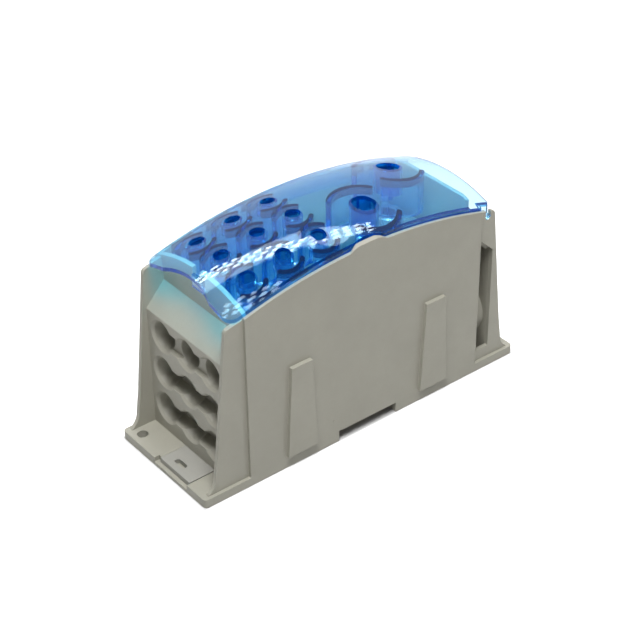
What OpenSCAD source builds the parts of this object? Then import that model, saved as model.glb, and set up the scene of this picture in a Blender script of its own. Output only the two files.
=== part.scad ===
// Power distribution block for one pole: a moulded housing with a stepped terminal bar,
// set screws for nine outgoing and two incoming wires, a hinged clear cover and a rail latch.
// Outgoing wires enter at -X, incoming wires at +X, and the flange stands on Z = 0.

/* [Body] */
// Length over the flange
body_l = 192; // [150:1:220]
// Width over the side panels
body_w = 67.6; // [60:0.2:80]
// Thickness of the flange
flange_t = 4.6; // [3:0.1:8]
// Height of the side panels at mid length
panel_h = 102.6; // [90:0.1:110]
// Half length of the flush side panels
panel_x = 70; // [60:0.5:78]
// Thickness of the side panels
panel_t = 2.2; // [1.5:0.1:4]
// Set-back of the end wings behind the side panels
wing_step = 1.6; // [0.5:0.1:3]
// Thickness of the end wings
wing_t = 2; // [1.2:0.1:4]
// Distance from the middle to each end face
face_x = 79.6; // [72:0.1:90]

/* [Outlets] */
// Pitch of the outlets across the width
out_dy = 19; // [16:0.1:22]
// Pitch of the outlet rows in height
out_dz = 20.5; // [18:0.1:24]
// Height of the lowest outlet row
out_z0 = 18.4; // [14:0.1:24]
// Radius of an outlet mouth
mouth_r = 8.7; // [6:0.1:9.4]
// Bevel round an outlet mouth
mouth_bevel = 1.2; // [0.4:0.1:2]
// Radius of the wire hole in the terminal bar
out_bore_r = 4.75; // [3:0.05:6]
// Position of the set screws of the top row
out_x0 = -57.5; // [-62:0.1:-50]
// Step of the set screws from row to row
out_dx = 20.15; // [16:0.05:24]

/* [Inlets] */
// Radius of the incoming wire holes
in_bore_r = 8.5; // [6:0.1:10]
// Outer radius of an inlet funnel at its mouth
in_mouth_r = 15.4; // [12:0.1:17]
// Lower inlet: screw position, side offset and height
in_a = [14.4, -12.5, 27];
// Upper inlet: screw position, side offset and height
in_b = [50.1, 12.2, 57];

/* [Side keys] */
// Height of the side keys above the side face
key_t = 2; // [1:0.1:3]
// Height of the top end of the side keys
key_top = 56.7; // [40:0.1:70]

/* [Cover] */
// Height of the cover at its crown
crown_h = 111; // [105:0.1:120]
// Thickness of the cover
cover_t = 1.9; // [1.2:0.1:3]
// Radius of the crown along the length
crown_rx = 262; // [200:1:400]
// Radius of the crown across the width
crown_ry = 86; // [60:1:200]
// Radius of a small screwdriver hole
hole_r = 3.6; // [2:0.1:5]
// Radius of a big screwdriver hole
big_hole_r = 5.75; // [4:0.05:8]
// Depth of the finger guard ribs below the crown
rib_h = 21; // [8:1:30]

/* [Hinge] */
// Hinge axis along the length
hinge_x = 75.4; // [70:0.1:78]
// Height of the hinge axis
hinge_z = 87.8; // [80:0.1:92]
// Radius of the hinge pins
pin_r = 1.55; // [1.2:0.05:3]

/* [Rail] */
// Half width of the rail recess
rail_x = 17.7; // [17:0.1:19]
// Height of the rail recess
rail_h = 5.6; // [4:0.1:8]
// Free travel of the rail latch
latch_travel = 4; // [2:0.5:6]

/* [Hidden] */
$fn = 64;
fit = 0.05;
half_w = body_w / 2;
wing_y = half_w - wing_step;
inner_y = wing_y - wing_t;
cavity_y = half_w - panel_t;
wall_x = 69;
wall_t = 2;
hood_z0 = 69.5;
hood_z1 = 81.2;
rows = [0, 1, 2];
cols = [-1, 0, 1];
bar_y = 28.5;
bar_z = 9;
out_screw_r = 4;
in_screw_r = 8;
latch_y0 = -18.5;
latch_y1 = 5;
latch_z0 = 2;
spring_x = -48.5;
spring_y0 = -11.5;
spring_y1 = -2.5;
spring_t = 1;
post_x = spring_x - latch_travel - 0.2;
post_t = 3;
fixing_x = 90.4;
fixing_y = 25;
fixing_r = 2.75;
join = 0.2;
webs = [[-58, 50], [-43, 29.5], [60, 43]];
key_x = 40.5;
raise_r = 20.8;
raise_centre = [0.3, -50.6];
plug_hole = [[22.5, -23], [22.5, -3]];
plug_head = [4.6, 2.9];
plug_r = 2;
plug_z = 0.2;
rise_y = 31;
rebate = 0.4;
skirt_y = 30.8;
lug_y0 = 27.8;
lug_y1 = 29.7;
lug_r = 1.6;
cover_end = 77.2;
rib_clear = 13.6;
small_rib = [8.45, 2.3];
big_rib = [16.2, 2.6];
collar_t = 1.2;
function row_x(i) = out_x0 + i * out_dx;
function row_z(i) = out_z0 + (2 - i) * out_dz;
bar_front = [-66, -50, -32];
bar_top = [69.5, 49, 29];
bore_end = [-50.5, -31.6, -8];
bore_bevel = 0.6;
in_face = [27.5, 63];
in_top = [43, 74];

// Box from its lower corner to its upper corner.
module box(a, b) { translate(a) cube(b - a); }

// Round bar along X between two positions.
module bar_x(x0, x1, y, z, r) {
    translate([x0, y, z]) rotate([0, 90, 0]) cylinder(r = r, h = x1 - x0);
}

// Turned shape along X from a profile of [distance, radius] points, closed on its axis.
module turned_x(x, y, z, profile) {
    last = len(profile) - 1;
    translate([x, y, z]) rotate([0, 90, 0]) rotate_extrude()
        polygon(concat([[0, profile[0][0]]], [for (p = profile) [p[1], p[0]]], [[0, profile[last][0]]]));
}

// Outline in X and Z made solid between two Y positions.
module slab_y(y0, y1) {
    translate([0, y1, 0]) rotate([90, 0, 0]) linear_extrude(y1 - y0) children();
}

// Both sides of the middle plane Y = 0.
module both_y() {
    children();
    mirror([0, 1, 0]) children();
}

// Both ends of the middle plane X = 0.
module both_x() {
    children();
    mirror([1, 0, 0]) children();
}

// Everything below the arched top line of a wall whose peak is at height h.
module under_arch(h) {
    intersection() {
        translate([0, h - crown_rx]) circle(crown_rx, $fn = 360);
        translate([-100, 0]) square([200, 120]);
    }
}

// Barrel-shaped shell between two depths below the crown surface.
module crown_shell(d0, d1) {
    translate([0, 0, crown_h - crown_rx]) rotate([90, 0, 0])
        rotate_extrude($fn = 360) intersection() {
            translate([crown_rx - crown_ry, 0]) difference() {
                circle(crown_ry - d0, $fn = 360);
                circle(crown_ry - d1, $fn = 360);
            }
            translate([crown_rx - 40, -40]) square([50, 80]);
        }
}

// Outline of an end wing at the +X end, with its flared foot and rounded top corner.
module wing_outline() {
    difference() {
        union() {
            polygon([[wall_x - wall_t, 1], [93, 1], [93, flange_t], [88.5, 12], [86.6, 25], [84.2, 47],
                     [82.6, 62], [81.2, 75], [79.9, 87.6], [76.9, 90.75], [wall_x - wall_t, 92.6]]);
            translate([76.9, 87.75]) circle(3);
        }
        translate([97.3, 12.8]) circle(8.9);
    }
}

// Slot through a rear wing, with a slanted top.
module wing_slot() { polygon([[70.5, 11], [79.7, 11], [79.7, 67.8], [70.5, 76.2]]); }

// Slanted hood over an end face, and the upright wall above it.
module hood(top) {
    slab_y(-inner_y - 0.5, inner_y + 0.5)
        polygon([[face_x, hood_z0 - 2], [face_x, hood_z0], [wall_x, hood_z1], [wall_x, hood_z1 + 1],
                 [wall_x - wall_t, hood_z1 + 1], [wall_x - wall_t, hood_z1 - 2.6],
                 [face_x - 1.9, hood_z0 - 2]]);
}

// One outlet funnel with its straight channel to the terminal bar.
module outlet_way(i, j) {
    turned_x(-face_x, j * out_dy, row_z(i), [[-0.2, mouth_r + 0.2], [mouth_bevel, mouth_r - mouth_bevel],
             [9.6, out_bore_r + 0.7], [face_x + bar_front[i] + 0.5, out_bore_r + 0.7]]);
}

// Slots that join the three mouths of a row.
module outlet_slot(i) {
    depth = i == 0 ? 2.8 : 8;
    box([-face_x - 1, -out_dy, row_z(i) - 5.2], [-face_x + depth, out_dy, row_z(i) + 5.2]);
}

// Funnel of an inlet, from the terminal bar at x1 to the end face.
module inlet_body(p, x1) {
    turned_x(x1, p[1], p[2], [[0, in_bore_r + 2.3], [wall_x - 3 - x1, in_bore_r + 2.3],
             [face_x + 0.4 - x1, in_mouth_r]]);
}

// Channel through the funnel of an inlet.
module inlet_way(p, x1) {
    turned_x(x1, p[1], p[2], [[-1, in_bore_r + 0.6], [wall_x - 3 - x1, in_bore_r + 0.6],
             [face_x + 0.6 - x1, in_mouth_r - 1.4]]);
}

// Joining key on the outside of the -Y side panel at position x, standing out by h and wider by grow.
// With its end at depth -h inside the panel it is the cutter for the matching groove.
module side_key(x, h, grow) {
    y0 = h > 0 ? -half_w - h : -half_w - 1;
    y1 = h > 0 ? -half_w + 0.5 : -half_w - h;
    translate([x, 0, 0]) slab_y(y0, y1)
        polygon([[-8.8 - grow, 6.8 - grow], [8.8 + grow, 6.8 - grow],
                 [5.9 + grow, key_top + grow], [-5.9 - grow, key_top + grow]]);
}

// Housing before its holes are cut.
module housing_solid() {
    difference() {
        box([-body_l / 2, -half_w, 0], [body_l / 2, half_w, flange_t]);
        both_x() both_y() translate([body_l / 2 - 2, half_w - 2, -1]) difference() {
            cube([3, 3, 7]);
            cylinder(r = 2, h = 8);
        }
    }
    box([-20.5, -cavity_y - 0.5, 1], [20.5, cavity_y + 0.5, rail_h + 2]);
    box([-face_x, latch_y0 - 2.6, 1], [-rail_x, latch_y1 + 2.4, 6.8]);
    both_y() {
        slab_y(cavity_y, half_w) intersection() {
            under_arch(panel_h);
            translate([-panel_x, 1]) square([2 * panel_x, 110]);
        }
        both_x() slab_y(inner_y, wing_y) wing_outline();
    }
    intersection() {
        slab_y(-half_w, -rise_y) translate([0, panel_h])
            polygon([[-12, -3], [-10.6, -0.2], [-8.8, 1], [-6.3, 1.9], [-0.5, 2.1],
                     [4.9, 2.1], [7.9, 1.4], [11, -0.2], [12, -3]]);
        raise_column(-0.5);
    }
    both_x() hood();
    slab_y(-inner_y - 0.5, inner_y + 0.5) translate([-face_x, 1]) square([face_x - wall_x, hood_z0 - 1]);
    intersection() {
        box([-wall_x, -cavity_y - join, hood_z1 - 3], [-wall_x + wall_t, cavity_y + join, crown_h]);
        crown_under(cover_t + 0.6);
    }
    box([wall_x - wall_t, -cavity_y - join, 1], [wall_x, cavity_y + join, hood_z1 + 1]);
    intersection() {
        box([wall_x - wall_t, -24.5, hood_z1 - 3], [wall_x, 24.5, 96.6]);
        crown_under(cover_t + 0.6);
    }
    box([-wall_x, -cavity_y - join, 1], [-wall_x + wall_t, cavity_y + join, hood_z1 + 1]);
    for (i = rows, j = cols)
        bar_x(-wall_x, bar_front[i], j * out_dy, row_z(i), out_bore_r + 2.3);
    for (w = webs) box([w[0], -cavity_y - join, 1], [w[0] + wall_t, cavity_y + join, w[1]]);
    inlet_body(in_a, in_face[0]);
    inlet_body(in_b, in_face[1]);
    for (p = plug_hole) translate([p[0], p[1], 1]) cylinder(r = 5, h = bar_z - 1);
    box([30, 6, 1], [34, 25, bar_z]);
    box([-31, -26, 1], [-27, 26, bar_z]);
    for (x = [-key_x, key_x]) {
        side_key(x, key_t, 0);
        translate([x, 0, 0]) box([-11, cavity_y - 2, 1], [11, cavity_y + 0.5, key_top + 3]);
    }
}

// Upright column whose edge is the cover's notch at the raised part of the -Y panel, larger by grow.
module raise_column(grow) {
    translate([raise_centre[0], raise_centre[1], 60]) cylinder(r = raise_r + grow, h = 60, $fn = 120);
}

// Space below the crown surface at a given depth.
module crown_under(d) {
    translate([0, 0, crown_h - crown_rx]) rotate([90, 0, 0])
        rotate_extrude($fn = 360) intersection() {
            translate([crown_rx - crown_ry, 0]) circle(crown_ry - d, $fn = 360);
            translate([crown_rx - 80, -40]) square([90, 80]);
        }
}

// Finished housing, with the post that stops the latch spring.
module housing() {
    color([0.62, 0.62, 0.6]) {
        housing_cut();
        box([post_x - post_t, spring_y0, latch_z0 - 0.5], [post_x, spring_y1, flange_t + 0.5]);
    }
}

// Housing with its funnels, slots, notches and holes.
module housing_cut() {
    difference() {
        housing_solid();
        box([-rail_x, -50, -1], [rail_x, 50, rail_h]);
        box([-rail_x, -50, -1], [-rail_x + 1.7, 50, rail_h + 0.3]);
        both_x() both_y() slab_y(cavity_y - 1, wing_y + 0.1) difference() {
            translate([20, panel_h - 20]) square([60, 20]);
            under_arch(panel_h - rebate);
        }
        for (i = rows) {
            outlet_slot(i);
            for (j = cols) outlet_way(i, j);
        }
        inlet_way(in_a, in_face[0]);
        inlet_way(in_b, in_face[1]);
        slab_y(-wing_y - 1, -inner_y + 1) wing_slot();
        both_y() slab_y(inner_y - 0.1, wing_y + 3) hinge_notch();
        for (s = [-1, 1]) translate([s * fixing_x, fixing_y, -1]) cylinder(r = fixing_r, h = 10);
        box([-body_l / 2 - 1, latch_y0 - 0.7, latch_z0 - 0.1], [-rail_x + 1, latch_y1 + 0.1, flange_t + 0.1]);
        box([-body_l / 2 - 1, latch_y0 - 0.7, latch_z0 - 0.1], [-face_x, latch_y1 + 0.1, 8]);
        box([-body_l / 2 - 1, latch_y1 - 1, latch_z0 - 0.1], [-93.2, latch_y1 + 2, 8]);
        box([-body_l / 2 - 1, 0.8, -1], [-body_l / 2 + 0.6, 1.2, 3]);
        box([-wall_x - 1, 0, 93.5], [-wall_x + wall_t + 1, 5.7, crown_h]);
        mirror([0, 1, 0]) {
            side_key(-key_x, -key_t - 0.2, 0.15);
            side_key(key_x, -key_t - 0.2, 0.15);
        }
        translate([-20.8, -half_w, 13.5]) rotate([90, 0, 0]) cylinder(r = 0.7, h = 0.5, center = true);
        for (p = plug_hole) translate([p[0], p[1], -1]) {
            rotate_extrude() polygon([[0, 0], [plug_head[0] + 1.2, 0], [plug_head[0] + 1.2, 1],
                                      [plug_head[0] + 0.1, 1 + plug_z],
                                      [plug_r + 0.2, 1 + plug_z + plug_head[1]], [plug_r + 0.2, 12], [0, 12]]);
        }
    }
}

// Notch in a wing that carries a hinge pin, open at the top.
module hinge_notch() {
    translate([hinge_x, hinge_z]) circle(pin_r + fit);
    translate([hinge_x - pin_r - fit, hinge_z]) square([2 * pin_r + 2 * fit, 10]);
}

// Outline of the cover seen from above, with rounded front corners and stepped rear corners.
module cover_plan() {
    difference() {
        union() {
            translate([-71.9, -wing_y]) square([142.4, 2 * wing_y]);
            translate([-77.4, -wing_y + 5.5]) square([20, 2 * wing_y - 11]);
            for (s = [-1, 1]) translate([-71.9, s * (wing_y - 5.5)]) circle(5.5);
            translate([60, -lug_y1 + 0.6]) square([cover_end - 60, 2 * lug_y1 - 1.2]);
            translate([60, -lug_y1]) square([cover_end - 60.6, 2 * lug_y1]);
            for (s = [-1, 1]) translate([cover_end - 0.6, s * (lug_y1 - 0.6)]) circle(0.6);
        }
        translate([-125.8, -0.5]) circle(51.5, $fn = 240);
        translate(raise_centre) circle(raise_r, $fn = 120);
        for (i = rows, j = cols) translate([row_x(i), j * out_dy]) circle(hole_r);
        translate([in_a[0], in_a[1]]) circle(big_hole_r);
        translate([in_b[0], in_b[1]]) circle(big_hole_r);
    }
}

// Rib with round ends on an arc that spans 50 degrees to each side of the width direction.
module arc_rib(size, s) {
    r = size[0];
    t = size[1];
    difference() {
        intersection() {
            circle(r + t / 2);
            polygon([[0, 0], [-2 * r * sin(50), s * 2 * r * cos(50)],
                     [2 * r * sin(50), s * 2 * r * cos(50)]]);
        }
        circle(r - t / 2);
    }
    for (a = [-50, 50]) translate([r * sin(a), s * r * cos(a)]) circle(t / 2 - 0.06);
}

// All finger guard ribs seen from above.
module rib_plan() {
    for (i = rows, j = cols, s = [-1, 1]) translate([row_x(i), j * out_dy]) arc_rib(small_rib, s);
    for (p = [in_a, in_b], s = [-1, 1]) translate([p[0], p[1]]) arc_rib(big_rib, s);
}

// Ring of a collar around a hole of radius r.
module collar(r) {
    difference() {
        circle(r + collar_t);
        circle(r);
    }
}

// Hinge lug under a rear corner of the cover, with its pin.
module hinge_lug() {
    intersection() {
        slab_y(lug_y0, lug_y1) {
            translate([hinge_x, hinge_z]) circle(lug_r);
            polygon([[hinge_x - lug_r, hinge_z], [hinge_x - 7.4, 97], [hinge_x - 7.4, 100],
                     [hinge_x + lug_r, 100], [hinge_x + lug_r, hinge_z]]);
        }
        crown_under(cover_t / 2);
    }
    translate([hinge_x, lug_y1 - 0.5, hinge_z]) rotate([-90, 0, 0])
        cylinder(r = pin_r, h = wing_y - lug_y1 + 0.1);
}

// Clear crowned cover with finger guard ribs, collars, skirts, snap tab and hinge lugs.
module cover() {
    color([0.2, 0.5, 0.85]) {
        intersection() {
            crown_shell(0, cover_t);
            linear_extrude(120) cover_plan();
        }
        difference() {
            intersection() {
                crown_shell(cover_t - 0.4, rib_h);
                linear_extrude(120) intersection() {
                    rib_plan();
                    square([130.4, 2 * skirt_y], center = true);
                }
            }
            translate([hinge_x, -40, hinge_z]) rotate([-90, 0, 0]) cylinder(r = rib_clear, h = 80);
            box([hinge_x - rib_clear, -40, 60], [100, 40, hinge_z]);
        }
        intersection() {
            crown_shell(cover_t - 0.4, 14);
            linear_extrude(120) for (p = [in_a, in_b]) translate([p[0], p[1]]) collar(big_hole_r);
        }
        intersection() {
            crown_shell(cover_t - 0.4, 7);
            linear_extrude(120) for (i = rows, j = cols) translate([row_x(i), j * out_dy]) collar(hole_r);
        }
        intersection() {
            crown_shell(cover_t - 0.4, 10);
            linear_extrude(120) both_y() translate([-63, skirt_y - 1.2]) square([127, 1.2]);
        }
        intersection() {
            crown_shell(cover_t - 0.4, 7.2);
            linear_extrude(120) translate([-72.6, -6.5]) square([1.6, 8]);
        }
        both_y() hinge_lug();
    }
}

// Stepped outline of the terminal bar under the outlets.
module bar_steps() {
    polygon([[2, bar_z], [bar_front[2], bar_z], [bar_front[2], 29.5], [bar_front[1], 29.5],
             [bar_front[1], 50], [bar_front[0], 50], [bar_front[0], bar_top[0]], [-43, bar_top[0]],
             [-43, bar_top[1]], [-26, bar_top[1]], [-26, bar_top[2]], [2, bar_top[2]]]);
}

// Wire hole of an outlet with a bevelled mouth. Bevel and floor differ a little from hole to hole in a row.
module wire_bore(i, j) {
    turned_x(bar_front[i], j * out_dy, row_z(i), [[-1, out_bore_r + bore_bevel], [0, out_bore_r + bore_bevel],
             [bore_bevel + 0.4 * (j + 1), out_bore_r],
             [bore_end[i] - 0.5 * (j + 1) - bar_front[i], out_bore_r]]);
}

// Stepped terminal bar with its wire holes, screw holes and fixing holes.
module terminal_bar() {
    color([0.72, 0.72, 0.7]) difference() {
        union() {
            slab_y(-bar_y, bar_y) bar_steps();
            box([1, -bar_y, bar_z], [in_face[0], 2, in_top[0]]);
            box([1, 1, bar_z], [40, bar_y, 22]);
            box([29, 2, bar_z], [40, bar_y, in_top[1]]);
            box([39, -2, 43], [in_face[1], bar_y, in_top[1]]);
        }
        for (i = rows, j = cols) {
            wire_bore(i, j);
            translate([row_x(i), j * out_dy, row_z(i)]) cylinder(r = out_screw_r + fit, h = 30);
        }
        bar_x(5, in_face[0] + 1, in_a[1], in_a[2], in_bore_r);
        bar_x(42, in_face[1] + 1, in_b[1], in_b[2], in_bore_r);
        for (p = [in_a, in_b]) translate(p) cylinder(r = in_screw_r + fit, h = 30);
        for (p = plug_hole) translate([p[0], p[1], bar_z - 1]) cylinder(r = plug_r, h = 9);
    }
}

// Set screw without a head, with a hexagon socket and a bevelled tip.
module set_screw(r, len, hex) {
    color([0.55, 0.55, 0.56]) difference() {
        rotate_extrude() polygon([[0, 0], [r - 1, 0], [r, 1], [r, len - 0.6], [r - 0.6, len], [0, len]]);
        translate([0, 0, len * 0.45]) cylinder(r = hex / sqrt(3), h = len, $fn = 6);
    }
}

// Set screw of an outlet, counted row by row from the front.
module outlet_screw(k) {
    i = floor((k - 1) / 3);
    j = (k - 1) % 3 - 1;
    translate([row_x(i), j * out_dy, row_z(i) + out_bore_r + 0.3]) set_screw(out_screw_r, 8, 4);
}

// Set screw of an inlet at position p.
module inlet_screw(p) {
    translate([p[0], p[1], p[2] + in_bore_r + 0.4]) set_screw(in_screw_r, 14, 8);
}

// Countersunk screw that holds the terminal bar down from below.
module bar_screw(p) {
    color([0.6, 0.6, 0.6]) translate([p[0], p[1], plug_z]) difference() {
        rotate_extrude()
            polygon([[0, 0], [plug_head[0], 0], [plug_r, plug_head[1]], [plug_r, 14.5], [0, 14.5]]);
        translate([-3.6, -0.5, -1]) cube([7.2, 1, 1.9]);
        translate([-0.5, -3.6, -1]) cube([1, 7.2, 1.9]);
    }
}

// Zigzag spring arm in the window of the latch plate, free at its -X end.
module spring_arm() {
    for (i = [0 : 4]) {
        x = spring_x + 16 - 4 * i;
        box([x, spring_y0, latch_z0 + 0.3], [x + spring_t, spring_y1, flange_t - 0.3]);
        y = i % 2 == 0 ? spring_y0 : spring_y1 - spring_t;
        if (i < 4) box([x - 4, y, latch_z0 + 0.3], [x + spring_t, y + spring_t, flange_t - 0.3]);
    }
    box([-32.5, spring_y1 - spring_t, latch_z0 + 0.3], [-29.5, spring_y1, flange_t - 0.3]);
}

// Sliding latch plate that grips the mounting rail.
module rail_latch() {
    color([0.66, 0.66, 0.64]) difference() {
        union() {
            difference() {
                box([-93.9, latch_y0, latch_z0], [-16.1, latch_y1, flange_t]);
                box([-60, -12.5, latch_z0 - 1], [-30, -1.5, flange_t + 1]);
            }
            spring_arm();
        }
        translate([0, 0, latch_z0 - 1]) linear_extrude(5) {
            translate([-88.95, -7.05]) circle(1.45);
            translate([-88.95, -2.25]) circle(1.45);
            translate([-90.4, -7.05]) square([2.9, 4.8]);
        }
        slab_y(-30, 30) polygon([[-18.6, 1], [-15, 1], [-15, 3.4], [-16.2, 3.4], [-18.6, latch_z0]]);
    }
}

housing();
cover();
terminal_bar();
rail_latch();
bar_screw(plug_hole[0]);  // bar_screw_1
bar_screw(plug_hole[1]);  // bar_screw_2
outlet_screw(1);  // outlet_screw_1
outlet_screw(2);  // outlet_screw_2
outlet_screw(3);  // outlet_screw_3
outlet_screw(4);  // outlet_screw_4
outlet_screw(5);  // outlet_screw_5
outlet_screw(6);  // outlet_screw_6
outlet_screw(7);  // outlet_screw_7
outlet_screw(8);  // outlet_screw_8
outlet_screw(9);  // outlet_screw_9
inlet_screw(in_a);  // inlet_screw_1
inlet_screw(in_b);  // inlet_screw_2
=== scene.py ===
"""Finishes, inlet end face, lamps and camera for a power distribution block.

The block has a grey moulded housing and rail latch, a clear blue hinged cover, a tin-plated
terminal bar and zinc-plated screws. Lengths are in metres. +X runs along the block to its inlet
end, +Y across it away from the side with the keys, and +Z up from the mounting plate."""

import math

import bmesh
import bpy
import numpy as np
from bpy.props import FloatProperty, FloatVectorProperty, PointerProperty
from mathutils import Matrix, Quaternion, Vector


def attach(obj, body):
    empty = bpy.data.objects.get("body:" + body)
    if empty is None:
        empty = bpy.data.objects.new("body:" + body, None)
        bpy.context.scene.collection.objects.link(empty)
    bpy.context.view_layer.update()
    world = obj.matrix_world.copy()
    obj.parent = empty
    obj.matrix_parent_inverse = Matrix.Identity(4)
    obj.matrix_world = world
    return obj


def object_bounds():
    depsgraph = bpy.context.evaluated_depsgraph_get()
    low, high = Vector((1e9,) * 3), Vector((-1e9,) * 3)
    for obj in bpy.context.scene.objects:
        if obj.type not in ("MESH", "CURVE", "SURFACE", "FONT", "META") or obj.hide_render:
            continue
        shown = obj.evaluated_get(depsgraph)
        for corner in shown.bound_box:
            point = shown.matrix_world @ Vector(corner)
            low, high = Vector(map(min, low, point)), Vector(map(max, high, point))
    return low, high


bl_info = {
    "name": "Power distribution block",
    "version": (1, 0, 0),
    "blender": (4, 5, 0),
    "location": "View3D > Sidebar > Block",
    "description": "Finishes the packed block and sets its stage",
    "category": "Object",
}

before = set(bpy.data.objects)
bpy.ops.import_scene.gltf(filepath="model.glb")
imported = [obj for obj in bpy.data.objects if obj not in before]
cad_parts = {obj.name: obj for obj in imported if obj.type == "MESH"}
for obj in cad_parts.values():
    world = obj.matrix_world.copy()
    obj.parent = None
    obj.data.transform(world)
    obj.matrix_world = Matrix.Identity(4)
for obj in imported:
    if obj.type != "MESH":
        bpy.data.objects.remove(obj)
CAD_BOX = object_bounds()
MM = 0.001
WHITE = (1, 1, 1, 1)

# Middle of each inlet clamp. A big hole of the cover lies above it, and a mouth of the end face
# in line with it.
INLETS = ((14.4 * MM, -12.5 * MM, 27 * MM), (50.1 * MM, 12.2 * MM, 57 * MM))

# Cover: height of its crown, and radii of the crown's curves along and across the block.
CROWN_H, CROWN_RX, CROWN_RY = 111 * MM, 262 * MM, 86 * MM
# Grid of its small holes: first row along the block, pitches along and across, and where it ends.
GRID_X, GRID_DX, GRID_DY, GRID_END = -57.5 * MM, 20.15 * MM, 19 * MM, -5 * MM
# Round a small and a big hole: radius of the painted-shade wall, then radius and half width of the
# arc rib.
SMALL_RING = (3.9 * MM, 8.45 * MM, 1.3 * MM)
BIG_RING = (6 * MM, 16.2 * MM, 1.45 * MM)
# Depths under the crown: foot of the rim and hole walls, then middle and half height of the roots.
WALL_DEPTH, ROOT_DEPTH, ROOT_HALF = 2.6 * MM, 3.7 * MM, 2.5 * MM

# Inlet end face: its inner and outer plane, half width, lowest and highest edge.
FACE_INNER, FACE_OUTER = 79.65 * MM, 80.5 * MM
FACE_HALF, FACE_LOW, FACE_HIGH = 30.3 * MM, 4.4 * MM, 69.4 * MM
# Radius of its mouths at the inner and the outer plane, and the rays drawn round each.
MOUTH_INNER, MOUTH_OUTER, RAYS = 14.0 * MM, 14.4 * MM, 720

# Floor: half its side, and how far it lies under the flange.
FLOOR_REACH, FLOOR_DROP = 3.0, 0.2 * MM
# Rise of a direction at which the white room starts and ends its fade to the ceiling.
FADE_START, FADE_END = 0.68, 0.9
# Dotted tube: spacing and side of its square lamps, how many rows it has, and where they face.
DOT_PITCH, DOT_SIDE, DOT_ROWS, DOT_AIM = 0.05, 0.03, 3, (0, 0, 0.1)


# Values a user would change


class MouldingFinish(bpy.types.PropertyGroup):
    """Grey moulded plastic of the housing and the rail latch."""

    colour: FloatVectorProperty(
        name="Colour", description="Colour of the housing", subtype="COLOR",
        size=4, min=0, max=1, default=(0.345, 0.336, 0.283, 1))
    latch_colour: FloatVectorProperty(
        name="Latch colour", description="Colour of the rail latch", subtype="COLOR",
        size=4, min=0, max=1, default=(0.335, 0.33, 0.3, 1))
    roughness: FloatProperty(
        name="Roughness", description="Mean roughness of the moulded skin", subtype="FACTOR",
        min=0, max=1, default=0.5)
    grain: FloatProperty(
        name="Grain", description="Size of the eroded mould grain", unit="LENGTH", precision=5,
        default=0.28 * MM)
    edge: FloatProperty(
        name="Edge radius", description="Radius of the moulded edges", unit="LENGTH", precision=5,
        default=0.5 * MM)


class CoverFinish(bpy.types.PropertyGroup):
    """Clear blue plastic of the hinged cover."""

    tint: FloatVectorProperty(
        name="Skin tint", description="Tint that each surface gives", subtype="COLOR",
        size=4, min=0, max=1, default=(0.94, 0.99, 1.0, 1))
    # Painted shade: a dark blue tint on the rim and the hole walls stands in for the dark that
    # light takes on down them.
    wall_shade_tint: FloatVectorProperty(
        name="Wall tint", description="Tint of the rim and of the hole walls", subtype="COLOR",
        size=4, min=0, max=1, default=(0.02, 0.18, 0.45, 1))
    # Painted shade: a dark violet colour inside the arc ribs' roots stands in for the dark that
    # the ribs show.
    rib_shade_colour: FloatVectorProperty(
        name="Rib colour", description="Colour of the arc ribs' roots", subtype="COLOR",
        size=4, min=0, max=1, default=(0.06, 0.025, 0.05, 1))
    gloss_tint: FloatVectorProperty(
        name="Gloss tint", description="Tint of what the skin mirrors", subtype="COLOR",
        size=4, min=0, max=1, default=(0.8, 0.95, 1.0, 1))
    lamp_tint: FloatVectorProperty(
        name="Lamp tint", description="Tint of the lamp light under the cover", subtype="COLOR",
        size=4, min=0, max=1, default=(0.4, 0.86, 1.0, 1))
    body_colour: FloatVectorProperty(
        name="Body colour", description="Colour that thick plastic lets through", subtype="COLOR",
        size=4, min=0, max=1, default=(0.05, 0.78, 0.95, 1))
    density: FloatProperty(
        name="Density", description="How strongly a metre of the plastic takes up light", min=0,
        default=170)
    glow_colour: FloatVectorProperty(
        name="Pigment colour", description="Colour that the pigment scatters", subtype="COLOR",
        size=4, min=0, max=1, default=(0.0, 0.26, 1.0, 1))
    glow: FloatProperty(
        name="Pigment", description="Share of light that the pigment scatters", subtype="FACTOR",
        min=0, max=1, default=0.07)
    ior: FloatProperty(
        name="Index of refraction", description="How much the clear plastic bends light",
        default=1.45)
    roughness: FloatProperty(
        name="Roughness", description="Roughness of the polished skin", subtype="FACTOR",
        min=0, max=1, default=0.03)


class MetalFinish(bpy.types.PropertyGroup):
    """Tin-plated terminal bar and zinc-plated screws."""

    bar_colour: FloatVectorProperty(
        name="Bar colour", description="Tin plating of the terminal bar", subtype="COLOR",
        size=4, min=0, max=1, default=(0.7, 0.69, 0.66, 1))
    screw_colour: FloatVectorProperty(
        name="Screw colour", description="Zinc plating of the screws", subtype="COLOR",
        size=4, min=0, max=1, default=(0.5, 0.5, 0.52, 1))
    bar_roughness: FloatProperty(
        name="Bar roughness", description="Mean roughness of the bar", subtype="FACTOR",
        min=0, max=1, default=0.34)
    screw_roughness: FloatProperty(
        name="Screw roughness", description="Mean roughness of the screws", subtype="FACTOR",
        min=0, max=1, default=0.3)
    edge: FloatProperty(
        name="Edge radius", description="Radius of the softened edges", unit="LENGTH", precision=5,
        default=0.25 * MM)


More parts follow.
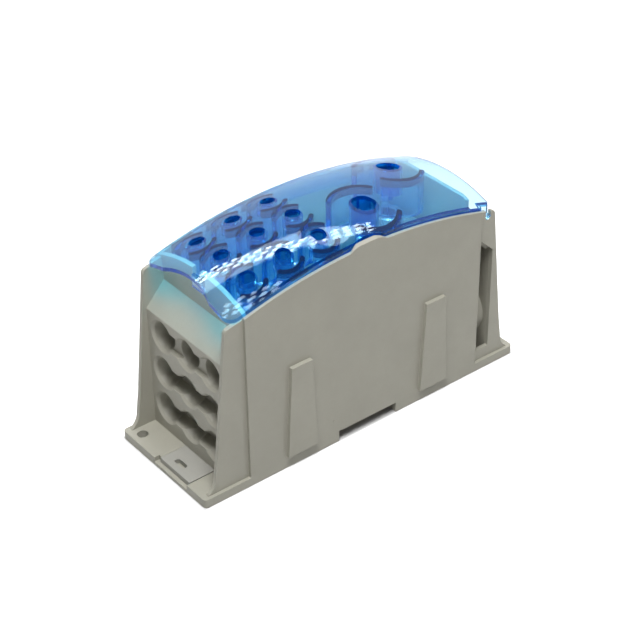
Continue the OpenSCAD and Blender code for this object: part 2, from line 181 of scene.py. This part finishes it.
class StageSettings(bpy.types.PropertyGroup):
    """Floor, lamps and camera."""

    camera_place: FloatVectorProperty(
        name="Camera place", description="Where the camera stands", subtype="TRANSLATION",
        size=3, default=(-0.4150, -0.5224, 0.5058))
    camera_aim: FloatVectorProperty(
        name="Camera aim", description="Point in the middle of the picture",
        subtype="TRANSLATION", size=3, default=(0.0032, 0.0065, 0.0392))
    camera_roll: FloatProperty(
        name="Camera roll", description="Turn of the camera about its view", subtype="ANGLE",
        default=math.radians(-0.64))
    lens: FloatProperty(
        name="Lens", description="Focal length of the lens in millimetres", default=95.05)
    floor_colour: FloatVectorProperty(
        name="Floor colour", description="Colour of the floor", subtype="COLOR",
        size=4, min=0, max=1, default=(0.55, 0.55, 0.55, 1))
    floor_glow: FloatProperty(
        name="Floor glow", description="Light that keeps the open floor white", default=0.75)
    key_power: FloatProperty(
        name="Key power", description="Power of the overhead lamp", unit="POWER", default=12)
    fill_power: FloatProperty(
        name="Fill power", description="Power of the side lamp", unit="POWER", default=0.15)
    tube_power: FloatProperty(
        name="Tube power", description="Power of the dotted tube that the cover mirrors",
        unit="POWER", default=1.8)
    glow_power: FloatProperty(
        name="Halo power", description="Power of the soft light round the dotted tube",
        unit="POWER", default=1.6)
    world_level: FloatProperty(
        name="Room level", description="Brightness of the room's light", default=0.11)
    ceiling: FloatProperty(
        name="Ceiling", description="Brightness of the ceiling that gloss shows",
        min=0, max=1, default=0.1)


class BlockSettings(bpy.types.PropertyGroup):
    """All values of the block and its stage."""

    moulding: PointerProperty(
        type=MouldingFinish, name="Moulding", description="Housing and latch")
    cover: PointerProperty(type=CoverFinish, name="Cover", description="Hinged cover")
    metal: PointerProperty(
        type=MetalFinish, name="Metal", description="Terminal bar and screws")
    stage: PointerProperty(
        type=StageSettings, name="Stage", description="Floor, lamps and camera")


# Node work shared by the finishes and the room


class Shelf:
    """Node tree of a material or world, with short calls for placing and wiring its nodes."""

    def __init__(self, owner, out="ShaderNodeOutputMaterial"):
        owner.use_nodes = True
        self.owner = owner
        self.tree = owner.node_tree
        self.tree.nodes.clear()
        self.out = self.tree.nodes.new(out)
        self.coord = self.tree.nodes.new("ShaderNodeTexCoord")

    def node(self, kind, sockets=(), **settings):
        """Places a node, sets its own settings, and fills its sockets with values or wires."""
        made = self.tree.nodes.new(kind)
        for key, value in settings.items():
            setattr(made, key, value)
        for key, value in dict(sockets).items():
            self.wire(value, made.inputs[key])
        return made

    def wire(self, value, socket):
        """Fills a socket with a value, or wires it to a socket or to a node's first output."""
        if isinstance(value, bpy.types.Node):
            value = value.outputs[0]
        if isinstance(value, bpy.types.NodeSocket):
            self.tree.links.new(value, socket)
        else:
            socket.default_value = value

    def math(self, operation, *values):
        """One step of arithmetic."""
        return self.node("ShaderNodeMath", enumerate(values), operation=operation).outputs[0]

    def distance(self, along, across):
        """Length of a flat vector: the root of the sum of its squared parts."""
        squares = [self.math("POWER", part, 2.0) for part in (along, across)]
        return self.math("SQRT", self.math("ADD", *squares))

    def noise(self, size, detail, stretch=(1, 1, 1)):
        """Noise whose spots are about size metres across, drawn out along an axis by stretch."""
        spread = self.node("ShaderNodeMapping", {"Vector": self.coord.outputs["Object"],
                                                 "Scale": stretch})
        made = self.node("ShaderNodeTexNoise", {"Vector": spread, "Scale": 1 / size,
                                                "Detail": detail})
        return made.outputs["Fac"]

    def span(self, fac, low, high, start=0.0, end=1.0):
        """Maps a factor between start and end to a number between low and high."""
        return self.node("ShaderNodeMapRange", {"Value": fac, "From Min": start, "From Max": end,
                                                "To Min": low, "To Max": high}).outputs[0]

    def spots(self, size, detail):
        """Mask of soft clouds about size metres across."""
        return self.span(self.noise(size, detail), 0, 1, 0.35, 0.65)

    def blend(self, fac, a, b):
        """Mixes two colours by a factor."""
        made = self.node("ShaderNodeMix", data_type="RGBA")
        for place, value in ((0, fac), (6, a), (7, b)):
            self.wire(value, made.inputs[place])
        return made.outputs[2]

    def mix(self, fac, a, b):
        """Mixes two shaders by a factor."""
        return self.node("ShaderNodeMixShader", {0: fac, 1: a, 2: b})

    def rounded_edge(self, radius):
        """Normal bent round every edge, and a mask that is 1 on the edges."""
        bent = self.node("ShaderNodeBevel", {"Radius": radius}, samples=6)
        flat = self.node("ShaderNodeNewGeometry")
        along = self.node("ShaderNodeVectorMath", {0: bent, 1: flat.outputs["Normal"]},
                          operation="DOT_PRODUCT")
        return bent, self.span(along.outputs["Value"], 1, 0, 0.8, 0.99)

    def relief(self, height, depth, normal, strength):
        """Bump of a given depth in metres on top of a normal."""
        return self.node("ShaderNodeBump", {"Height": height, "Distance": depth,
                                            "Normal": normal, "Strength": strength})

    def seen(self):
        """1 on rays from the camera, straight, in gloss or through the cover, and 0 on others."""
        path = self.node("ShaderNodeLightPath").outputs
        through = self.math("MAXIMUM", path["Is Camera Ray"], path["Is Transmission Ray"])
        return self.math("MAXIMUM", through, path["Is Glossy Ray"])

    def surface(self, shader):
        """Gives the tree its surface and hands back the material or world."""
        self.wire(shader, self.out.inputs["Surface"])
        return self.owner


def tone(colour, factor):
    """The same colour, lighter or darker by a factor."""
    return tuple(min(1, c * factor) for c in colour[:3]) + (1,)


def moulded_plastic(name, colour, finish):
    """Satin moulded plastic: an eroded grain, cloudy flow tones, and a highlight painted paler on
    the edges.
    """
    s = Shelf(bpy.data.materials.new(name))
    bent, edge = s.rounded_edge(finish.edge)
    fleck = s.span(s.noise(1.3 * MM, 2), 0, 1, 0.3, 0.7)
    base = s.blend(s.spots(22 * MM, 4), tone(colour, 0.965), tone(colour, 1.03))
    base = s.blend(s.span(fleck, 0, 0.35), base, tone(colour, 0.95))
    # Painted highlight: the colour turns lighter on the edges.
    base = s.blend(s.span(edge, 0, 0.4), base, tone(colour, 1.5))
    rough = s.span(s.noise(4 * MM, 3), finish.roughness - 0.07, finish.roughness + 0.07, 0.3, 0.7)
    grain = s.relief(s.noise(finish.grain, 2), 0.03 * MM, bent, 0.5)
    sink = s.relief(s.noise(30 * MM, 1), 0.25 * MM, grain, 0.25)
    return s.surface(s.node("ShaderNodeBsdfPrincipled", {
        "Base Color": base, "Roughness": rough, "Normal": sink, "IOR": 1.5,
        "Specular IOR Level": 0.45}))


def cover_masks(s):
    """Two masks on the cover, both for painted shade: the walls of its rim and screwdriver holes,
    which are tinted dark as painted shade where light runs dark down them, and the inside of the
    arc ribs' roots, which get a dark colour. Both need a steep surface. A point's depth is the
    crown's height, less x squared over twice the one radius and y squared over twice the other,
    less z. Walls lie at little depth or near a hole, and roots lie at a rib's distance from a
    hole."""
    x, y, z = s.node("ShaderNodeSeparateXYZ", {0: s.coord.outputs["Object"]}).outputs
    facing = s.node("ShaderNodeNewGeometry").outputs
    nz = s.node("ShaderNodeSeparateXYZ", {0: facing["Normal"]}).outputs[2]
    upright = s.span(s.math("ABSOLUTE", nz), 1, 0, 0.35, 0.55)
    fall = s.math("ADD", s.math("MULTIPLY", s.math("POWER", x, 2.0), 0.5 / CROWN_RX),
                  s.math("MULTIPLY", s.math("POWER", y, 2.0), 0.5 / CROWN_RY))
    depth = s.math("SUBTRACT", CROWN_H, s.math("ADD", fall, z))
    grid = (s.math("WRAP", s.math("SUBTRACT", x, GRID_X), GRID_DX / 2, -GRID_DX / 2),
            s.math("WRAP", y, GRID_DY / 2, -GRID_DY / 2), SMALL_RING, GRID_END)
    singles = [(s.math("SUBTRACT", x, at[0]), s.math("SUBTRACT", y, at[1]), BIG_RING,
                CAD_BOX[1][0]) for at in INLETS]
    walls, ribs = s.math("LESS_THAN", depth, WALL_DEPTH), 0.0
    for along, across, (wall, rib, half), end in [grid] + singles:
        away = s.distance(along, across)
        near = s.math("LESS_THAN", x, end)
        hole = s.math("MULTIPLY", near, s.math("LESS_THAN", away, wall))
        ring = s.math("MULTIPLY", near, s.math("COMPARE", away, rib, half))
        walls, ribs = s.math("MAXIMUM", walls, hole), s.math("MAXIMUM", ribs, ring)
    inside = s.math("MULTIPLY", facing["Backfacing"],
                    s.math("COMPARE", depth, ROOT_DEPTH, ROOT_HALF))
    roots = s.math("MULTIPLY", ribs, inside)
    return s.math("MULTIPLY", walls, upright), s.math("MULTIPLY", roots, upright)


def clear_blue(name, finish):
    """Clear blue plastic: tinted surfaces, a little pigment, painted shade on the rim and hole
    walls and in the rib roots, light taken up in its depth, and tinted lamp light let through."""
    s = Shelf(bpy.data.materials.new(name))
    walls, roots = cover_masks(s)
    rough = s.span(s.noise(9 * MM, 3), finish.roughness * 0.6, finish.roughness * 1.5, 0.3, 0.7)
    skin = s.node("ShaderNodeBsdfPrincipled", {
        # The rim and hole walls get the dark tint as painted shade.
        "Base Color": s.blend(walls, finish.tint, finish.wall_shade_tint), "Roughness": rough,
        "IOR": finish.ior, "Transmission Weight": 1.0, "Specular Tint": finish.gloss_tint})
    pigment = s.mix(0.5, s.node("ShaderNodeBsdfTranslucent", {"Color": finish.glow_colour}),
                    s.node("ShaderNodeBsdfDiffuse", {"Color": finish.glow_colour}))
    # The rib roots get the dark colour as painted shade.
    tinted = s.mix(s.span(roots, 0, 0.9), s.mix(finish.glow, skin, pigment),
                   s.node("ShaderNodeBsdfDiffuse", {"Color": finish.rib_shade_colour}))
    path = s.node("ShaderNodeLightPath")
    s.wire(s.node("ShaderNodeVolumeAbsorption", {"Color": finish.body_colour,
                                                 "Density": finish.density}),
           s.out.inputs["Volume"])
    return s.surface(s.mix(path.outputs["Is Shadow Ray"], tinted,
                           s.node("ShaderNodeBsdfTransparent", {"Color": finish.lamp_tint})))


def plated_metal(name, colour, roughness, edge_radius, stretch):
    """Plated metal: drawn streaks, dull patches, softened edges, and a highlight painted paler on
    the edges.
    """
    s = Shelf(bpy.data.materials.new(name))
    bent, edge = s.rounded_edge(edge_radius)
    streak = s.noise(0.9 * MM, 3, stretch)
    base = s.blend(s.spots(7 * MM, 4), tone(colour, 0.86), tone(colour, 1.05))
    # Painted highlight: the colour turns lighter on the edges.
    base = s.blend(s.span(edge, 0, 0.5), base, tone(colour, 1.25))
    rough = s.span(streak, roughness - 0.1, roughness + 0.12, 0.3, 0.7)
    return s.surface(s.node("ShaderNodeBsdfPrincipled", {
        "Base Color": base, "Roughness": rough, "Metallic": 1.0,
        "Normal": s.relief(streak, 0.02 * MM, bent, 0.4)}))


def dress(node, material):
    """Gives every slot of a CAD node one finish."""
    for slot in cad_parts[node].material_slots:
        slot.material = material


# The inlet end face


def ring_plate(centre, radii, planes, front, back):
    """Part of a flat plate round a cone-shaped hole, as points (angle, section) in metres. The
    plate ends on planes (a, b, c), inside of which a y + b z < c. Along each ray from the hole's
    centre the section runs from the hole to the nearest plane on the front, back along the
    plane's edge and to the hole on the rear. The rays stop where the hole runs out of the
    plate."""
    turn = np.linspace(0, 2 * np.pi, RAYS + 1)
    ray = np.stack([np.cos(turn), np.sin(turn)], axis=1)
    slope = ray @ planes[:, :2].T
    room = planes[:, 2] - planes[:, :2] @ centre
    reach = np.where(slope > 1e-9, room / np.maximum(slope, 1e-9), np.inf).min(axis=1)
    outside = np.flatnonzero(reach < radii[0])
    if len(outside):
        keep = np.arange(outside[-1] + 1, outside[0] + RAYS) % RAYS
        ray, reach = ray[keep], reach[keep]
    away = np.stack([np.full_like(reach, radii[0]), reach, reach, np.full_like(reach, radii[1])],
                    axis=1)
    flat = centre + away[..., None] * ray[:, None, :]
    depth = np.broadcast_to(np.array([front, front, back, back])[None, :, None],
                            away.shape + (1,))
    return np.concatenate([depth, flat], axis=2)


def tube_faces(rows, columns, first):
    """Quads between neighbouring sections, each section a closed loop of columns points."""
    along, round_it = np.meshgrid(np.arange(rows - 1), np.arange(columns), indexing="ij")
    after = (round_it + 1) % columns
    quads = np.stack([along * columns + round_it, along * columns + after,
                      (along + 1) * columns + after, (along + 1) * columns + round_it], axis=-1)
    return (quads.reshape(-1, 4) + first).tolist()


def inlet_face_mesh():
    """End face of the housing between the rear wings, with a hole round each inlet funnel. Each
    hole has its own half of the plate, up to the line midway between the two."""
    centres = np.array(INLETS)[:, 1:]
    split = (centres[1] - centres[0]) / np.linalg.norm(centres[1] - centres[0])
    middle = split @ centres.mean(axis=0)
    sides = [(1, 0, FACE_HALF), (-1, 0, FACE_HALF), (0, 1, FACE_HIGH), (0, -1, -FACE_LOW)]
    points, faces = [], []
    for centre, sign in zip(centres, (1, -1)):
        planes = np.array(sides + [(sign * split[0], sign * split[1], sign * middle)])
        ring = ring_plate(centre, (MOUTH_OUTER, MOUTH_INNER), planes, FACE_OUTER, FACE_INNER)
        faces += tube_faces(*ring.shape[:2], sum(map(len, points)))
        points.append(ring.reshape(-1, 3))
    mesh = bpy.data.meshes.new("inlet_face")
    mesh.from_pydata(np.concatenate(points).tolist(), [], faces)
    work = bmesh.new()
    work.from_mesh(mesh)
    bmesh.ops.remove_doubles(work, verts=work.verts, dist=0.01 * MM)
    bmesh.ops.recalc_face_normals(work, faces=work.faces)
    work.to_mesh(mesh)
    work.free()
    return mesh


# Stage


def added(name, data):
    """A new object of the scene."""
    made = bpy.data.objects.new(name, data)
    bpy.context.scene.collection.objects.link(made)
    return made


def stand(thing, place, aim, roll=0.0):
    """Stands a lamp or camera at its place, facing its aim and rolled about its view."""
    thing.location = place
    thing.rotation_mode = "QUATERNION"
    view = (Vector(aim) - Vector(place)).to_track_quat("-Z", "Y")
    thing.rotation_quaternion = view @ Quaternion((0, 0, 1), roll)


def lay_floor(stage):
    """A wide flat floor just under the flange, which looks white and keeps the block's shadow.
    Its glow starts at the edge of the block's footprint."""
    mesh = bpy.data.meshes.new("floor")
    corners = ((-1, -1), (1, -1), (1, 1), (-1, 1))
    mesh.from_pydata([(x * FLOOR_REACH, y * FLOOR_REACH, 0) for x, y in corners], [],
                     [(0, 1, 2, 3)])
    floor = added("floor", mesh)
    floor.location.z = -FLOOR_DROP
    s = Shelf(bpy.data.materials.new("floor_white"))
    paint = s.node("ShaderNodeBsdfDiffuse", {"Color": stage.floor_colour})
    spot = s.node("ShaderNodeSeparateXYZ", {0: s.coord.outputs["Object"]})
    out_by = [s.math("ABSOLUTE", s.math("MULTIPLY", spot.outputs[axis], 1 / CAD_BOX[1][axis]))
              for axis in (0, 1)]
    beside = s.span(s.math("MAXIMUM", *out_by), 0, stage.floor_glow, 0.98, 1.04)
    glow = s.node("ShaderNodeEmission", {"Color": WHITE, "Strength": beside})
    lit = s.node("ShaderNodeAddShader", {0: paint, 1: glow})
    mesh.materials.append(s.surface(s.mix(s.seen(), paint, lit)))


def light_room(stage):
    """A world with white walls and a dimmer ceiling to the camera, in gloss and through the
    cover, which lights at its own level."""
    s = Shelf(bpy.data.worlds.new("white_room"), "ShaderNodeOutputWorld")
    height = s.node("ShaderNodeSeparateXYZ", {0: s.coord.outputs["Generated"]}).outputs["Z"]
    fade = s.node("ShaderNodeMapRange", {
        "Value": height, "From Min": FADE_START, "From Max": FADE_END, "To Min": 1.0,
        "To Max": stage.ceiling}, interpolation_type="SMOOTHSTEP")
    lights = s.node("ShaderNodeBackground", {"Color": WHITE, "Strength": stage.world_level})
    shown = s.node("ShaderNodeBackground", {"Color": WHITE, "Strength": fade})
    bpy.context.scene.world = s.surface(s.mix(s.seen(), lights, shown))


def soft_lamp(name, place, aim, size, power):
    """A flat lamp at place, facing aim, with its width and height as size."""
    data = bpy.data.lights.new(name, "AREA")
    data.shape, data.energy = "RECTANGLE", power
    data.size, data.size_y = size
    stand(added(name, data), place, aim)


def lamp_rows(name, start, end, power):
    """Rows of small square lamps from start to end, as in a tube of bright dots."""
    start, end = Vector(start), Vector(end)
    count = int((end - start).length / DOT_PITCH)
    aside = (end - start).cross(Vector((0, 0, 1))).normalized() * DOT_PITCH
    for k in range(DOT_ROWS * count):
        step, row = divmod(k, DOT_ROWS)
        place = start.lerp(end, (step + 0.5) / count) + aside * (row - 1)
        soft_lamp(f"{name}_{k + 1}", place, DOT_AIM, (DOT_SIDE, DOT_SIDE),
                  power / count / DOT_ROWS)


def place_camera(stage):
    """The camera stands at its place, faces its aim and is rolled about its view."""
    data = bpy.data.cameras.new("camera")
    data.lens, data.sensor_width = stage.lens, 36
    data.clip_start, data.clip_end = 0.05, 20
    camera = added("camera", data)
    stand(camera, stage.camera_place, stage.camera_aim, stage.camera_roll)
    bpy.context.scene.camera = camera


# Operators


class BLOCK_OT_moulding(bpy.types.Operator):
    """Finishes the housing and the rail latch in grey moulded plastic"""

    bl_idname = "block.moulding"
    bl_label = "Finish the mouldings"

    def execute(self, context):
        finish = context.scene.block_settings.moulding
        dress("housing", moulded_plastic("housing_grey", finish.colour, finish))
        dress("rail_latch", moulded_plastic("latch_grey", finish.latch_colour, finish))
        return {"FINISHED"}


class BLOCK_OT_inlet_face(bpy.types.Operator):
    """Closes the housing's inlet end between its funnels, in the housing's plastic"""

    bl_idname = "block.inlet_face"
    bl_label = "Close the inlet end"

    def execute(self, context):
        face = added("inlet_face", inlet_face_mesh())
        face.data.materials.append(bpy.data.materials["housing_grey"])
        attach(face, "block")
        return {"FINISHED"}


class BLOCK_OT_cover(bpy.types.Operator):
    """Finishes the hinged cover in clear blue plastic"""

    bl_idname = "block.cover"
    bl_label = "Finish the cover"

    def execute(self, context):
        dress("cover", clear_blue("cover_blue", context.scene.block_settings.cover))
        return {"FINISHED"}


class BLOCK_OT_metal(bpy.types.Operator):
    """Finishes the terminal bar and all screws in plated metal"""

    bl_idname = "block.metal"
    bl_label = "Finish the metal parts"

    def execute(self, context):
        finish = context.scene.block_settings.metal
        dress("terminal_bar", plated_metal("bar_tin", finish.bar_colour, finish.bar_roughness,
                                           finish.edge, (1, 0.08, 1)))
        zinc = plated_metal("screw_zinc", finish.screw_colour, finish.screw_roughness,
                            finish.edge, (1, 1, 0.1))
        screws = [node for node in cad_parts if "screw" in node]
        if not screws:
            raise RuntimeError("the frame has no screws")
        for node in screws:
            dress(node, zinc)
        return {"FINISHED"}


class BLOCK_OT_stage(bpy.types.Operator):
    """Sets the floor, the white room, the lamps and the camera"""

    bl_idname = "block.stage"
    bl_label = "Set the stage"

    def execute(self, context):
        stage = context.scene.block_settings.stage
        lay_floor(stage)
        light_room(stage)
        soft_lamp("overhead_lamp", place=(-0.2, -0.3, 1.0), aim=(0, 0, 0.05), size=(0.4, 0.4),
                  power=stage.key_power)
        soft_lamp("side_lamp", place=(0.3, -0.42, 0.06), aim=(0.04, 0, 0.05), size=(0.3, 0.3),
                  power=stage.fill_power)
        lamp_rows("far_tube", start=(0, 0.74, 1.0), end=(0.36, 0.34, 1.0),
                  power=stage.tube_power)
        lamp_rows("near_tube", start=(0.37, 0.33, 1.0), end=(0.7, 0.23, 1.0),
                  power=stage.tube_power * 0.45)
        soft_lamp("far_glow", place=(0.19, 0.52, 1.03), aim=(0.1, 0.26, 0), size=(0.46, 0.22),
                  power=stage.glow_power)
        soft_lamp("near_glow", place=(0.5, 0.31, 1.03), aim=(0.25, 0.16, 0), size=(0.27, 0.2),
                  power=stage.glow_power * 0.55)
        lamp_rows("corner_tube", start=(-0.1, 0.13, 1.0), end=(0.14, 0, 1.0),
                  power=stage.tube_power * 0.22)
        place_camera(stage)
        context.scene.view_settings.view_transform = "Standard"
        return {"FINISHED"}


class BLOCK_PT_sidebar(bpy.types.Panel):
    """Lists the values and the operators of the block"""

    bl_idname = "BLOCK_PT_sidebar"
    bl_label = "Power distribution block"
    bl_space_type = "VIEW_3D"
    bl_region_type = "UI"
    bl_category = "Block"

    def draw(self, context):
        for group, operators in (("moulding", ("block.moulding", "block.inlet_face")),
                                 ("cover", ("block.cover",)), ("metal", ("block.metal",)),
                                 ("stage", ("block.stage",))):
            box = self.layout.box()
            part = getattr(context.scene.block_settings, group)
            for key in part.__annotations__:
                box.prop(part, key)
            for operator in operators:
                box.operator(operator)


CLASSES = (MouldingFinish, CoverFinish, MetalFinish, StageSettings, BlockSettings,
           BLOCK_OT_moulding, BLOCK_OT_inlet_face, BLOCK_OT_cover, BLOCK_OT_metal,
           BLOCK_OT_stage, BLOCK_PT_sidebar)


def register():
    for one in CLASSES:
        bpy.utils.register_class(one)
    bpy.types.Scene.block_settings = PointerProperty(type=BlockSettings)


def unregister():
    del bpy.types.Scene.block_settings
    for one in reversed(CLASSES):
        bpy.utils.unregister_class(one)


def main():
    register()
    bpy.ops.block.moulding()
    bpy.ops.block.inlet_face()
    bpy.ops.block.cover()
    bpy.ops.block.metal()
    bpy.ops.block.stage()


if __name__ == "__main__":
    main()
